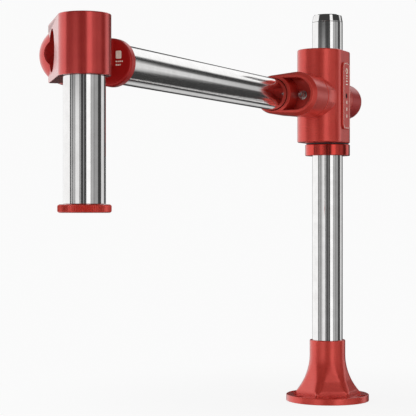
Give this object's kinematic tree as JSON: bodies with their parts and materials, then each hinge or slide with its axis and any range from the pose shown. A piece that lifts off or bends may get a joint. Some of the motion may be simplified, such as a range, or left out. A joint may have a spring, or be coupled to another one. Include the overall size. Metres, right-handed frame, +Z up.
{
  "type": "column arm stand",
  "caption": "Bolt-down column stand with a sliding, swivelling sleeve, an offset tube arm and a clamp head that holds a vertical drop tube.",
  "frame": {"origin": "centre of the base flange's underside, on the column's axis", "axes": "+Z up the column, -Y along the arm from the column to the head, +X to the side that carries the side plate"},
  "size_m": [0.1418, 0.6729, 0.4835],
  "materials": {
    "red": "bead-blasted and anodised bright red, satin with a metallic sheen",
    "polished_tube": "mirror-polished stainless tube with faint lengthwise grain",
    "black_steel": "black-oxide socket screws, satin",
    "zinc_steel": "bright zinc-plated turned steel",
    "polymer": "black acetal, matt",
    "brass": "plain turned brass",
    "pale_enamel": "pale printed enamel"
  },
  "bodies": {
    "base": {"base_flange": "red", "base_grub_screw_1": "black_steel", "base_grub_screw_2": "black_steel", "column_tube": "polished_tube", "column_top_cap": "polished_tube"},
    "collar": {"lock_collar": "red", "collar_screw": "black_steel", "thrust_washer": "polymer"},
    "sleeve": {"sleeve_housing": "red", "lower_bush": "polymer", "upper_bush": "polymer", "side_plate": "red", "side_set_screw": "black_steel", "pivot_shaft": "zinc_steel", "pivot_washer": "zinc_steel", "pivot_screw": "zinc_steel", "friction_washer": "polymer"},
    "lock_pad": {"lock_pad": "brass"},
    "lock_knob": {"lock_knob": "red", "lock_stud": "zinc_steel"},
    "arm": {"link_block": "red", "link_grub_screw_1": "black_steel", "link_grub_screw_2": "black_steel", "arm_tube": "polished_tube", "end_block": "red", "end_badge": "pale_enamel", "head_pivot_stud": "zinc_steel", "head_friction_washer": "polymer", "head_pivot_washer": "zinc_steel", "head_pivot_nut": "black_steel"},
    "head": {"head_clamp": "red", "head_grub_screw_1": "black_steel", "head_grub_screw_2": "black_steel"},
    "liner": {"drop_liner": "polymer"},
    "drop": {"drop_tube": "polished_tube", "drop_top_plug": "polymer"},
    "cap": {"knurled_cap": "red"}
  },
  "joints": [
    {"name": "collar_height", "type": "slide", "parent": "base", "child": "collar", "axis": [0, 0, 1], "range_m": [-0.22, 0.04]},
    {"name": "sleeve_swivel", "type": "hinge", "parent": "collar", "child": "sleeve", "pos_m": [0, 0, 0.3226], "axis": [0, 0, 1], "continuous": true},
    {"name": "lock_travel", "type": "slide", "parent": "sleeve", "child": "lock_pad", "axis": [0, 1, 0], "range_m": [0, 0.0016]},
    {"name": "lock_knob_turn", "type": "hinge", "parent": "lock_pad", "child": "lock_knob", "pos_m": [0, 0.033, 0.379], "axis": [0, 1, 0], "range_deg": [0, 360]},
    {"name": "arm_roll", "type": "hinge", "parent": "sleeve", "child": "arm", "pos_m": [0, -0.0675, 0.3773], "axis": [0, -1, 0], "range_deg": [-90, 90]},
    {"name": "head_tilt", "type": "hinge", "parent": "arm", "child": "head", "pos_m": [-0.01788, -0.50403, 0.3855], "axis": [-0.7912, -0.6115, 0], "range_deg": [-90, 90]},
    {"name": "drop_swivel", "type": "hinge", "parent": "head", "child": "liner", "pos_m": [-0.01698, -0.57879, 0.358], "axis": [0, 0, 1], "continuous": true},
    {"name": "drop_height", "type": "slide", "parent": "liner", "child": "drop", "axis": [0, 0, 1], "range_m": [-0.02, 0.11]},
    {"name": "cap_turn", "type": "hinge", "parent": "drop", "child": "cap", "pos_m": [-0.01698, -0.57879, 0.2365], "axis": [0, 0, 1], "continuous": true}
  ],
  "couplings": [
    {"joint": "lock_travel", "follows": "lock_knob_turn", "m_per_rad": 0.00023873}
  ]
}
